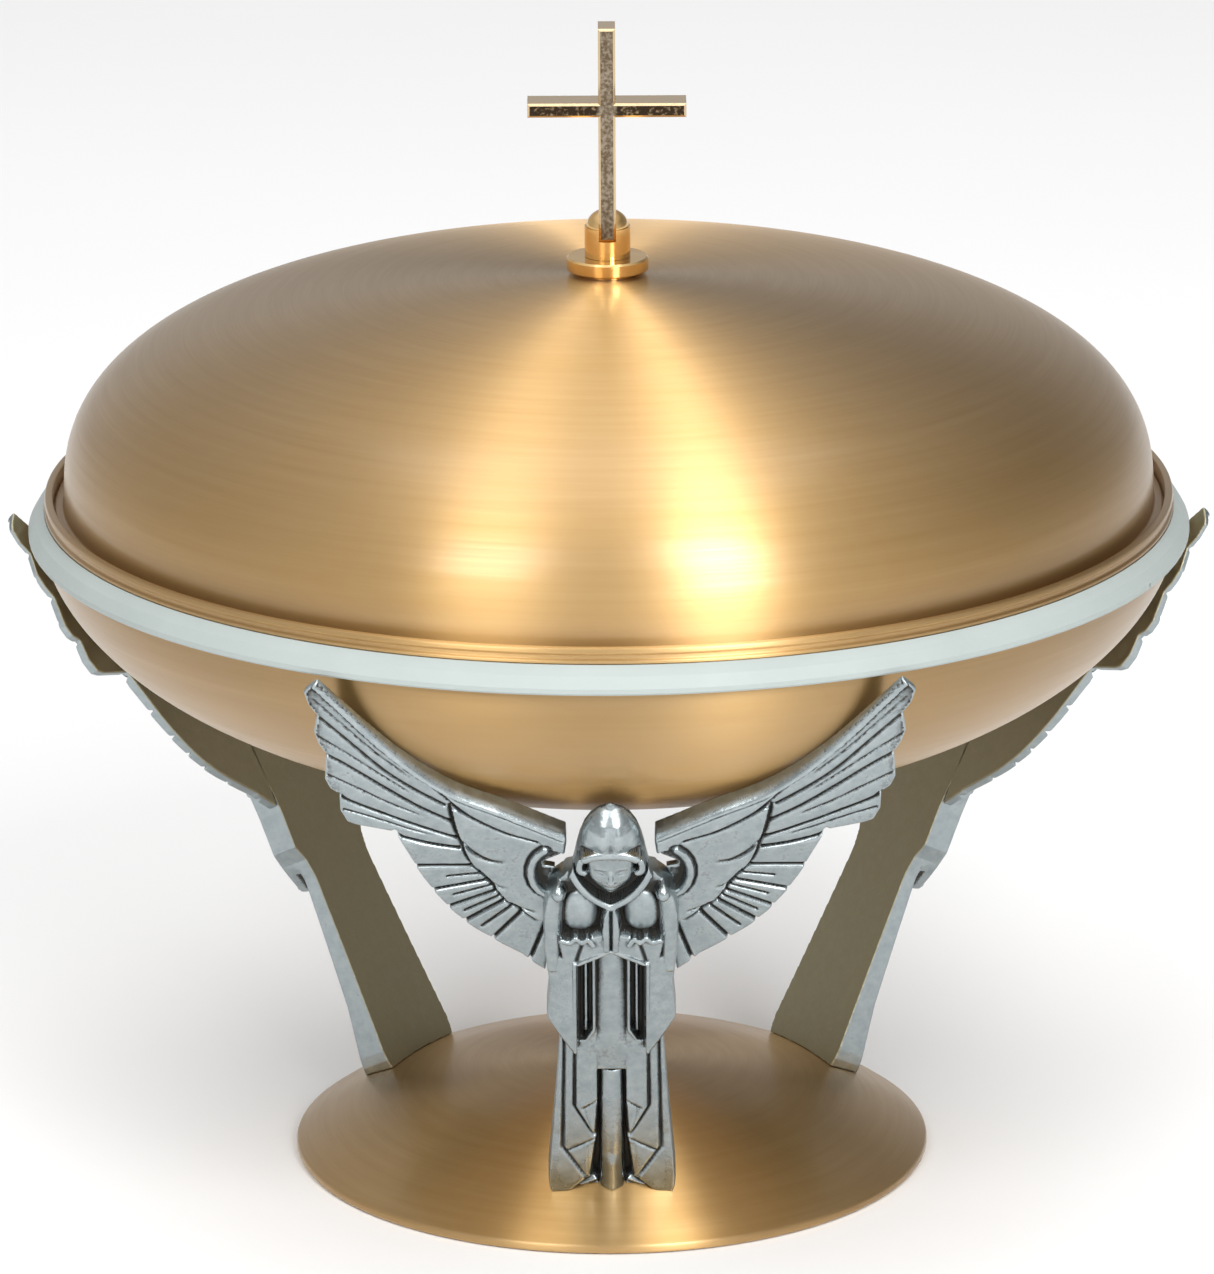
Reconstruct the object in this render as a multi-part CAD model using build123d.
from build123d import *
import os
from math import atan, cos, radians, sin, sqrt, tan

# A covered altar vessel, in millimetres, +Z up. The origin is the centre of the
# circle that the base stands on. One angel faces -Y; the other two stand at
# 120 degrees either side of it.

# Driving dimensions -----------------------------------------------------------

bowl_radius = 118.0          # bowl's outer surface, an ellipse turned about Z
bowl_depth = 55.0            # from the ellipse's centre to its lowest point
bowl_wall = 1.5
base_height = 19.4
base_wall = 1.5
base_power = 2.4             # how full the base's dome is
base_lip_height = 2.0
dome_rise = 44.6             # lid's dome, a superellipse turned about Z
dome_power = 2.5
dome_wall = 1.3
cross_height = 44.4
cross_span = 32.4
cross_width = 3.5
cross_depth = 8.0
lean = 26.7                  # angels lean outwards by this many degrees
angel_touch_inset = 22.25    # from the bowl's edge in to where it lies on them
angel_reach = 108.5          # up the leaning back, from the base to that place
base_margin = 19.8           # from the angels' flat backs out to the base's edge
angel_count = 3

# Clearances -------------------------------------------------------------------

solder_gap = 0.05            # between pieces that are soldered together
running_gap = 0.05           # lid on its locating ring
drop_in_gap = 0.3            # locating ring inside the bowl's mouth
foot_gap = 0.4               # lid's foot inside the mouth ring
seat_gap = 0.1               # under the lid where it rests
thread_gap = 0.02
clearance_hole_gap = 0.25
slot_gap = 0.02

# Bowl's mouth: white band, bronze mouth ring and the lid's seat -----------------

rim_drop = 1.5               # bowl's rim below the ellipse's centre
band_proud = 2.0             # band's widest point outside the bowl
band_below_rim = 3.1
band_above_rim = 2.2
band_edge_height = 1.3
ring_inset = 1.4             # mouth ring's outside, in from the bowl's ellipse
ring_above_band = 3.2
ring_below_rim = 3.0
ring_land = 1.8              # width of the mouth ring's top
ring_bead = 0.45
seat_above_rim = 1.9
seat_web = 1.6
vent_radius = 0.45
vent_depth = 1.4
vent_height = 0.95
vent_angle = -25.0           # degrees from +X, near the band's lower edge
foot_width = 1.9             # lid's foot, out from its dome
foot_thickness = 1.1
locating_wall = 1.3
locating_depth = 4.5         # how far the ring hangs below the seat
locating_grip = 2.6          # how far it reaches up inside the lid

# Finial -----------------------------------------------------------------------

disc_radius = 8.4
disc_thickness = 3.0
disc_foot_radius = 6.4
disc_foot_height = 0.7
disc_chamfer = 0.4
socket_radius = 4.7
socket_height = 6.3
socket_dome_radius = 4.3
socket_dome_height = 3.6
slot_floor_above_disc = 3.9
cross_arm_height = 2.9
cross_arm_below_top = 15.5   # from the cross's top to the top of its arms
cross_chamfer = 0.45
tie_screw_radius = 2.0
tie_screw_reach = 7.0        # into the finial, above the lid's apex
tie_head_radius = 3.6
tie_head_height = 2.4
tie_washer_radius = 7.0
tie_washer_thickness = 1.0

# Angels: outlines are half widths, in the leaning plane, drawn for a reach of 108.5

robe_hem_half = 13.0
robe_top_half = 10.4
robe_top_s = 42.0
hem_depth = 7.7
robe_depth = 5.0
sleeve_half = 12.9
sleeve_depth = 7.8
sleeve_tip_s = 41.3
elbow_s = 66.0
shoulder_s = 88.0
torso_depth = 5.4
hood_half = 7.2
hood_centre_s = 95.0
hood_half_height = 12.6
hood_depth = 8.6
hood_centre_n = 2.6
hands_depth = 8.4
wing_plate = 2.6
wing_cover = 3.5
wing_bead = 4.3
wing_thins_s = 100.0
wing_tip_s = 142.0
wing_tip_depth = 1.1

# Base screws, two in each angel's hem --------------------------------------------

base_screw_radius = 1.5
base_screw_spacing = 13.0
base_screw_n = 3.4
base_screw_in_hem = 9.0
screw_head_radius = 2.8
screw_head_height = 1.9
screw_washer_radius = 3.5
screw_washer_thickness = 0.6
screw_seat_gap = 0.3         # the washer is flat and the base curves over it

# Worked out from the values above -------------------------------------------------

figure_scale = angel_reach / 108.5
lean_sin = sin(radians(lean))
lean_cos = cos(radians(lean))
touch_radius = bowl_radius - angel_touch_inset
angel_foot_radius = touch_radius - angel_reach * lean_sin
base_radius = angel_foot_radius + base_margin


def base_z(radius):
    """Height of the base's top surface."""
    fall = base_height - base_lip_height
    return base_height - fall * (radius / base_radius) ** base_power


def base_slope(radius):
    """How steeply the base's top surface falls there."""
    fall = base_height - base_lip_height
    return base_power * fall / base_radius * (radius / base_radius) ** (base_power - 1.0)


angel_foot_z = base_z(angel_foot_radius)
touch_z = angel_foot_z + angel_reach * lean_cos
bowl_centre_z = touch_z + bowl_depth * sqrt(1.0 - (touch_radius / bowl_radius) ** 2)
bowl_rim_z = bowl_centre_z - rim_drop
band_radius = bowl_radius + band_proud
band_bottom_z = bowl_rim_z - band_below_rim
band_top_z = bowl_rim_z + band_above_rim
ring_radius = bowl_radius - ring_inset
ring_top_z = band_top_z + ring_above_band
ring_bottom_z = bowl_rim_z - ring_below_rim
ring_bore = ring_radius - ring_land
seat_z = bowl_rim_z + seat_above_rim
foot_radius = ring_bore - foot_gap
dome_radius = foot_radius - foot_width
locating_radius = dome_radius - dome_wall - running_gap
seat_bore = locating_radius + drop_in_gap
dome_z = ring_top_z + 0.1
dome_apex_z = dome_z + dome_rise
disc_z = dome_apex_z + disc_foot_height
socket_z = disc_z + disc_thickness
socket_dome_z = socket_z + socket_height
cross_foot_z = socket_z + slot_floor_above_disc
cross_top_z = cross_foot_z + cross_height


def half_superellipse(radius, rise, centre_z, steps=9):
    """Quarter outline from the apex to the widest point, by its own formula."""
    power = 2.0 / dome_power
    angles = [radians(90.0 * i / steps) for i in range(steps + 1)]
    points = [
        (radius * sin(a) ** power, centre_z + rise * max(cos(a), 0.0) ** power)
        for a in angles
    ]
    return Spline(*points, tangents=[(1, 0), (0, -1)])


def turned(*edges):
    """Solid turned about Z from a closed outline drawn in the XZ plane."""
    return revolve(outline_face([Plane.XZ * edge for edge in edges]), Axis.Z)


def outline_face(edges):
    """Face inside a closed run of edges."""
    return make_face(Curve(children=list(edges)).edges())


def turned_polygon(*points):
    return revolve(make_face(Plane.XZ * Polyline(*points, close=True)), Axis.Z)


# Bowl, base and lid -----------------------------------------------------------------


def ellipse_z(radius, semi_radius, semi_depth, centre_z):
    return centre_z - semi_depth * sqrt(1.0 - (radius / semi_radius) ** 2)


def ellipse_radius(z, semi_radius, semi_depth, centre_z):
    return semi_radius * sqrt(1.0 - ((centre_z - z) / semi_depth) ** 2)


def bowl_cup(grow=0.0, top_z=bowl_rim_z):
    """Solid cup with the bowl's outer surface, grown outwards by grow."""
    semi_r = bowl_radius + grow
    semi_d = bowl_depth + grow
    rim_r = ellipse_radius(top_z, semi_r, semi_d, bowl_centre_z)
    low = (0, bowl_centre_z - semi_d)
    rim = (rim_r, top_z)
    wall = Spline(
        low,
        *[
            (r, ellipse_z(r, semi_r, semi_d, bowl_centre_z))
            for r in (semi_r * f for f in (0.2, 0.4, 0.58, 0.73, 0.85, 0.93, 0.975))
        ],
        rim,
        tangents=[(1, 0), rim_tangent(rim_r, top_z, semi_r, semi_d)],
    )
    return turned(wall, Line(rim, (0, top_z)), Line((0, top_z), low))


def rim_tangent(radius, z, semi_r, semi_d):
    """Direction of the ellipse at its rim, going up."""
    return ((bowl_centre_z - z) / semi_d ** 2, radius / semi_r ** 2)


def bowl():
    return bowl_cup() - bowl_cup(grow=-bowl_wall)


def bowl_band():
    """White moulding that caps the bowl's rim on the outside."""
    cone_z = band_bottom_z + band_edge_height
    outline = turned_polygon(
        (ring_radius + solder_gap, band_bottom_z),
        (band_radius - 0.3, band_bottom_z),
        (band_radius, band_bottom_z + 0.4),
        (band_radius, cone_z),
        ((band_radius + ring_radius) / 2 + 0.35, (cone_z + band_top_z) / 2 + 0.25),
        (ring_radius + 0.25, band_top_z),
        (ring_radius + solder_gap, band_top_z),
    )
    on_edge = Pos(band_radius, 0, band_bottom_z + vent_height) * Rot(0, 90, 0)
    vent = Rot(0, 0, vent_angle) * on_edge * Cylinder(vent_radius, 2 * vent_depth)
    return outline - bowl_cup(grow=solder_gap, top_z=bowl_rim_z + solder_gap) - vent


def bowl_mouth_ring():
    """Turned ring that stands above the white band and carries the lid."""
    skirt_radius = ellipse_radius(
        ring_bottom_z, bowl_radius - bowl_wall, bowl_depth - bowl_wall, bowl_centre_z
    ) - solder_gap
    step_z = bowl_rim_z + solder_gap
    ring = turned_polygon(
        (seat_bore, seat_z),
        (ring_bore, seat_z),
        (ring_bore, ring_top_z - 0.3),
        (ring_bore + 0.3, ring_top_z),
        (ring_radius - 0.6, ring_top_z),
        (ring_radius - 0.1, ring_top_z - 0.35),
        (ring_radius, ring_top_z - 0.8),
        (ring_radius - ring_bead, ring_top_z - 1.3),
        (ring_radius - ring_bead, band_top_z + 1.0),
        (ring_radius, band_top_z + 0.6),
        (ring_radius, band_top_z + 0.2),
        (ring_radius - 0.2, step_z),
        (skirt_radius, step_z),
        (skirt_radius, ring_bottom_z),
        (skirt_radius - seat_web, ring_bottom_z),
        (skirt_radius - seat_web, seat_z - seat_web - 1.0),
        (seat_bore, seat_z - seat_web),
    )
    return ring


def base_surface(drop=0.0):
    """Half outline of the base's top surface, lowered by drop."""
    edge = base_radius - drop
    radii = [edge * share for share in (0.0, 0.2, 0.4, 0.6, 0.75, 0.88, 1.0)]
    return Spline(*[(r, base_z(r) - drop) for r in radii])


def base_mound():
    """Solid mound with the base's outer surface."""
    edge = base_surface()
    end = edge @ 1
    return turned(
        edge,
        Line(end, (base_radius, 0)),
        Line((base_radius, 0), (0, 0)),
        Line((0, 0), edge @ 0),
    )


def base_dome():
    """Spun dome with a thicker rolled lip round its foot."""
    under = base_surface(base_wall)
    end = under @ 1
    hollow = turned(
        under,
        Polyline((end.X, end.Y), (end.X - 0.6, 0), (0, 0)),
        Line((0, 0), under @ 0),
    )
    return base_mound() - hollow


def lid_dome():
    """Spun lid: dome, short straight wall and an out-turned foot."""
    bottom_z = seat_z + seat_gap
    outside = half_superellipse(dome_radius, dome_rise, dome_z)
    inside = half_superellipse(dome_radius - dome_wall, dome_rise - dome_wall, dome_z)
    inner_r = dome_radius - dome_wall
    foot_top_z = bottom_z + foot_thickness
    shell = turned(
        outside,
        Polyline(
            (dome_radius, dome_z),
            (dome_radius, foot_top_z),
            (foot_radius, foot_top_z),
            (foot_radius, bottom_z),
            (inner_r, bottom_z),
            (inner_r, dome_z),
        ),
        inside,
        Line((0, dome_z + dome_rise - dome_wall), (0, dome_z + dome_rise)),
    )
    hole = Pos(0, 0, dome_apex_z) * Cylinder(tie_screw_radius + clearance_hole_gap, 6)
    return shell - hole


def lid_locating_ring():
    """Ring that centres the lid: it grips inside the lid and drops inside the mouth."""
    bottom_z = seat_z - locating_depth
    top_z = seat_z + locating_grip
    return turned_polygon(
        (locating_radius - locating_wall, bottom_z),
        (locating_radius - 0.4, bottom_z),
        (locating_radius, bottom_z + 0.6),
        (locating_radius, top_z),
        (locating_radius - locating_wall, top_z),
    )


# Finial and cross --------------------------------------------------------------------


def screw_bore():
    reach = dome_apex_z + tie_screw_reach
    return Pos(0, 0, reach / 2) * Cylinder(tie_screw_radius + thread_gap, reach)


def finial_disc():
    disc = Pos(0, 0, disc_z + disc_thickness / 2) * Cylinder(disc_radius, disc_thickness)
    disc = chamfer(disc.edges().filter_by(GeomType.CIRCLE), disc_chamfer)
    foot_z = dome_apex_z + solder_gap
    foot = Pos(0, 0, (foot_z + disc_z + 1.0) / 2) * Cylinder(
        disc_foot_radius, disc_z + 1.0 - foot_z
    )
    return disc + foot - screw_bore()


def cross_slot():
    height = 30.0
    return Pos(0, 0, cross_foot_z - slot_gap + height / 2) * Box(
        cross_width + 2 * slot_gap, 4 * socket_radius, height
    )


def finial_socket():
    """Turned socket with a domed top, slotted across for the cross."""
    barrel_z = socket_z + solder_gap
    barrel = Pos(0, 0, (barrel_z + socket_dome_z) / 2) * Cylinder(
        socket_radius, socket_dome_z - barrel_z
    )
    top = scale(
        Sphere(socket_dome_radius), by=(1, 1, socket_dome_height / socket_dome_radius)
    )
    return barrel + Pos(0, 0, socket_dome_z) * top - cross_slot() - screw_bore()


def cross():
    upright = Pos(0, 0, cross_foot_z + cross_height / 2) * Box(
        cross_width, cross_depth, cross_height
    )
    arm_z = cross_top_z - cross_arm_below_top - cross_arm_height / 2
    arms = Pos(0, 0, arm_z) * Box(cross_span, cross_depth, cross_arm_height)
    outline = upright + arms
    front_and_back = outline.faces().filter_by(Axis.Y)
    return chamfer(front_and_back.edges(), cross_chamfer)


def tie_screw():
    """Screw from inside the lid's apex up into the socket."""
    under_z = dome_apex_z - dome_wall - tie_washer_thickness - 2 * solder_gap
    reach = dome_apex_z + tie_screw_reach - 0.5 - under_z
    shank = Pos(0, 0, under_z + reach / 2) * Cylinder(tie_screw_radius, reach)
    head = Pos(0, 0, under_z - tie_head_height / 2) * Cylinder(
        tie_head_radius, tie_head_height
    )
    head = fillet(head.edges().group_by(Axis.Z)[0], 0.8)
    drive = Pos(0, 0, under_z - tie_head_height) * Box(1.0, 3 * tie_head_radius, 1.6)
    return head - drive + shank


def tie_washer():
    z = dome_apex_z - dome_wall - tie_washer_thickness / 2 - solder_gap
    ring = Cylinder(tie_washer_radius, tie_washer_thickness) - Cylinder(
        tie_screw_radius + clearance_hole_gap, 2 * tie_washer_thickness
    )
    return Pos(0, 0, z) * ring


# Angels --------------------------------------------------------------------------------

# Local coordinates: u across, s up the leaning back plane, n outwards from it.
leaning = Plane(
    origin=(0, -angel_foot_radius, angel_foot_z),
    x_dir=(1, 0, 0),
    z_dir=(0, -lean_cos, -lean_sin),
)


def drawn(points):
    """Outline points sized to suit the angels' reach."""
    return [(u * figure_scale, s * figure_scale) for u, s in points]


def raised(points, depth, start=0.0):
    """Prism on the back plane from an outline of (u, s) points."""
    sketch = make_face(Polyline(*drawn(points), close=True))
    return leaning * Pos(0, 0, start) * extrude(sketch, depth)


def both_sides(right_half):
    """Closed outline from the points of its right half, listed upwards."""
    return right_half + [(-u, s) for u, s in reversed(right_half)]


def side_profile(points, half_width):
    """Prism across the figure from a side outline of (s, n) points."""
    across = Plane(origin=leaning.origin, x_dir=leaning.y_dir, z_dir=leaning.x_dir)
    scaled = [(s * figure_scale, n) for s, n in points]
    sketch = make_face(Polyline(*scaled, close=True))
    half = half_width * figure_scale
    return across * Pos(0, 0, -half) * extrude(sketch, 2 * half)


def robe():
    outline = both_sides(
        [
            (robe_hem_half - 3.0, -4.0),
            (robe_hem_half, 0.5),
            (robe_top_half + 1.3, 21.0),
            (robe_top_half, robe_top_s),
            (robe_top_half, elbow_s),
        ]
    )
    profile = [
        (-4.0, 0.0),
        (-4.0, hem_depth),
        (0.0, hem_depth),
        (17.0, hem_depth - 1.6),
        (robe_top_s, robe_depth),
        (elbow_s, robe_depth - 0.6),
        (elbow_s, 0.0),
    ]
    return raised(outline, 2 * hem_depth) & side_profile(profile, robe_hem_half + 1.0)


def sleeve(side):
    """Wide hanging sleeve and upper arm, ending below in a point."""
    inner = sleeve_half - 5.7
    sleeve_outline = [
        (side * inner, sleeve_tip_s),
        (side * sleeve_half, 51.0),
        (side * (sleeve_half - 0.5), 58.5),
        (side * (sleeve_half - 0.1), elbow_s),
        (side * inner, elbow_s + 3.0),
    ]
    arm_outline = [
        (side * 1.0, elbow_s + 4.6),
        (side * inner, elbow_s + 1.2),
        (side * (sleeve_half - 0.1), elbow_s - 2.0),
        (side * (sleeve_half + 0.6), 80.0),
        (side * (sleeve_half - 0.4), 85.0),
        (side * (sleeve_half - 2.6), shoulder_s),
        (side * 8.0, 90.0),
        (side * 1.0, 84.0),
    ]
    return raised(sleeve_outline, sleeve_depth) + raised(arm_outline, sleeve_depth - 1.0)


def torso():
    outline = both_sides(
        [
            (robe_top_half, elbow_s - 2.0),
            (sleeve_half - 1.0, 72.0),
            (sleeve_half - 2.6, shoulder_s - 0.5),
            (hood_half + 0.9, 92.5),
            (hood_half - 1.0, 96.0),
        ]
    )
    return raised(outline, torso_depth)


def hood():
    half_depth = hood_depth - hood_centre_n
    half_width = hood_half * figure_scale
    half_height = hood_half_height * figure_scale
    body = scale(Sphere(1.0), by=(half_width, half_height, half_depth))
    placed = leaning * Pos(0, hood_centre_s * figure_scale, hood_centre_n) * body
    slab = raised(both_sides([(30.0, 60.0), (30.0, 130.0)]), 30.0)
    return placed & slab


def hands():
    return raised([(-1.6, 70.5), (1.6, 70.5), (1.3, 83.0), (-1.3, 83.0)], hands_depth)


def bowl_keepout():
    """What the angels are trimmed to: the bowl and the band, with the solder's gap."""
    cup = bowl_cup(grow=solder_gap, top_z=bowl_rim_z)
    band = Pos(0, 0, (band_bottom_z + band_top_z) / 2 + 1.0) * Cylinder(
        band_radius + solder_gap, band_top_z - band_bottom_z + 2.0 + 2 * solder_gap
    )
    return cup + band


def angel_body():
    solid = robe() + torso() + hood() + hands() + sleeve(1) + sleeve(-1)
    solid = solid - bowl_keepout() - Pos(0, 0, solder_gap) * base_mound()
    for u in screw_offsets():
        bore_radius = base_screw_radius + thread_gap
        solid = solid - along_figure(u, base_screw_n, -10.0, base_screw_in_hem, bore_radius)
    return solid


def bowl_on_plane(u):
    """How far up the leaning plane the bowl's surface crosses it."""
    bend = lean_sin ** 2 / bowl_radius ** 2 + lean_cos ** 2 / bowl_depth ** 2
    fall = (
        angel_foot_radius * lean_sin / bowl_radius ** 2
        + (angel_foot_z - bowl_centre_z) * lean_cos / bowl_depth ** 2
    )
    start = (
        (u ** 2 + angel_foot_radius ** 2) / bowl_radius ** 2
        + ((angel_foot_z - bowl_centre_z) / bowl_depth) ** 2
        - 1.0
    )
    return (-fall - sqrt(fall ** 2 - bend * start)) / bend


def wing_top(side):
    """Top edge of a wing, which closes on the bowl towards its outer part."""
    under_bowl = ((8.8, 8.0), (20.0, 3.6), (31.5, 1.6), (43.0, 0.0))
    points = [
        (side * u * figure_scale, bowl_on_plane(u * figure_scale) - drop * figure_scale)
        for u, drop in under_bowl
    ]
    return Spline(*points, *drawn([(side * 57.2, 140.5)]))


def wing_outline(side):
    """Wing from the shoulder, along its top edge, then back under the feathers."""
    top = wing_top(side)
    feathers = Polyline(
        *drawn(
            [
                (side * 57.2, 140.5),
                (side * 59.2, 137.0),
                (side * 57.3, 131.5),
                (side * 58.0, 126.5),
                (side * 56.0, 121.0),
                (side * 56.2, 114.0),
                (side * 53.5, 110.4),
                (side * 53.2, 105.6),
                (side * 50.0, 102.2),
                (side * 42.4, 100.2),
            ]
        )
    )
    fan = ThreePointArc(
        *drawn([(side * 42.4, 100.2), (side * 32.4, 79.0), (side * 13.2, 61.6)])
    )
    inner = Polyline(
        *drawn(
            [
                (side * 13.2, 61.6),
                (side * 12.0, 80.0),
                (side * 12.6, 91.2),
                (side * 9.4, 93.5),
            ]
        )
    )
    inner = inner + Line(inner @ 1, top @ 0)
    return top, feathers, fan, inner


def wing_bead_outline(side):
    """Raised strip along the wing's leading edge."""
    top = wing_outline(side)[0]
    lower = Spline(
        *drawn(
            [
                (side * 8.8, 98.4),
                (side * 20.0, 103.6),
                (side * 33.0, 110.8),
                (side * 45.0, 122.5),
                (side * 57.6, 138.2),
            ]
        )
    )
    return top, lower, Line(top @ 0, lower @ 0), Line(top @ 1, lower @ 1)


def wing_cover_outline(side):
    """Three overlapping coverts over the roots of the feathers."""
    return [
        (side * 12.4, 91.0),
        (side * 9.6, 93.8),
        (side * 9.2, 99.0),
        (side * 27.0, 105.5),
        (side * 31.0, 103.0),
        (side * 29.8, 95.5),
        (side * 27.5, 89.0),
        (side * 22.5, 82.5),
        (side * 15.0, 77.0),
        (side * 12.4, 78.0),
    ]


def wing(side):
    plate = extrude(outline_face(wing_outline(side)), wing_plate)
    bead = extrude(outline_face(wing_bead_outline(side)), wing_bead)
    solid = leaning * (plate + bead) + raised(wing_cover_outline(side), wing_cover)
    body_side = raised(
        [
            (side * (sleeve_half + 0.6 + solder_gap), 60.0),
            (side * (sleeve_half + 0.6 + solder_gap), 81.0),
            (side * (sleeve_half + solder_gap), 92.4),
            (side * 0.0, 92.4),
            (side * 0.0, 60.0),
        ],
        20.0,
        start=-1.0,
    )
    return (solid & wing_taper()) - body_side - bowl_keepout()


def wing_taper():
    """The wing thins from its middle to its tip."""
    profile = [
        (50.0, 0.0),
        (50.0, wing_bead),
        (wing_thins_s, wing_bead),
        (wing_tip_s, wing_tip_depth),
        (wing_tip_s, 0.0),
    ]
    return side_profile(profile, 70.0)


def along_figure(u, n, s_low, s_high, radius):
    """Round rod along the leaning plane's s direction."""
    middle = (s_low + s_high) / 2
    rod = Rot(90, 0, 0) * Cylinder(radius, s_high - s_low)
    return leaning * Pos(u, middle, n) * rod


def screw_offsets():
    return (-base_screw_spacing / 2, base_screw_spacing / 2)


def screw_seat_s():
    """Where the washer lies under the base, measured up the leaning plane."""
    s = 0.0
    for _ in range(20):
        radius = angel_foot_radius + s * lean_sin + base_screw_n * lean_cos
        z = angel_foot_z + s * lean_cos - base_screw_n * lean_sin
        s -= (z - base_z(radius)) * lean_cos
    tilt = radians(lean) - atan(base_slope(radius))
    return s - base_wall - screw_washer_radius * abs(tan(tilt)) - screw_seat_gap


def base_screws():
    """Two screws from under the base into one angel's hem."""
    head_top = screw_seat_s() - screw_washer_thickness - solder_gap
    group = []
    for u in screw_offsets():
        top = base_screw_in_hem - 0.4
        shank = along_figure(u, base_screw_n, head_top - 0.5, top, base_screw_radius)
        bottom = head_top - screw_head_height
        head = along_figure(u, base_screw_n, bottom, head_top, screw_head_radius)
        group.append(head + shank)
    return Compound(children=group)


def base_washers():
    top = screw_seat_s()
    low = top - screw_washer_thickness
    group = []
    for u in screw_offsets():
        hole_radius = base_screw_radius + clearance_hole_gap
        ring = along_figure(u, base_screw_n, low, top, screw_washer_radius)
        hole = along_figure(u, base_screw_n, low - 2, top + 2, hole_radius)
        group.append(ring - hole)
    return Compound(children=group)


def base_dome_drilled():
    shell = base_dome()
    hole_radius = base_screw_radius + clearance_hole_gap
    for turn in angel_turns():
        for u in screw_offsets():
            hole = along_figure(u, base_screw_n, -10.0, 6.0, hole_radius)
            shell = shell - Rot(0, 0, turn) * hole
    return shell


def angel_turns():
    return [360.0 / angel_count * i for i in (0, 1, -1)]


def build():
    """Every sub-part by name."""
    parts = {
        "base_dome": base_dome_drilled(),
        "bowl": bowl(),
        "bowl_band": bowl_band(),
        "bowl_mouth_ring": bowl_mouth_ring(),
        "lid_dome": lid_dome(),
        "lid_locating_ring": lid_locating_ring(),
        "finial_disc": finial_disc(),
        "finial_socket": finial_socket(),
        "cross": cross(),
        "finial_screw": tie_screw(),
        "finial_washer": tie_washer(),
    }
    shared = {
        "angel_{}": angel_body(),
        "wing_{}_left": wing(-1),
        "wing_{}_right": wing(1),
        "base_screws_{}": base_screws(),
        "base_washers_{}": base_washers(),
    }
    for place, turn in zip(("front", "rear_right", "rear_left"), angel_turns()):
        for name, solid in shared.items():
            parts[name.format(place)] = Rot(0, 0, turn) * solid
    return parts


os.makedirs("parts", exist_ok=True)
for node, solid in build().items():
    export_step(solid, f"parts/{node}.step")
    print(node, round(solid.volume, 2))
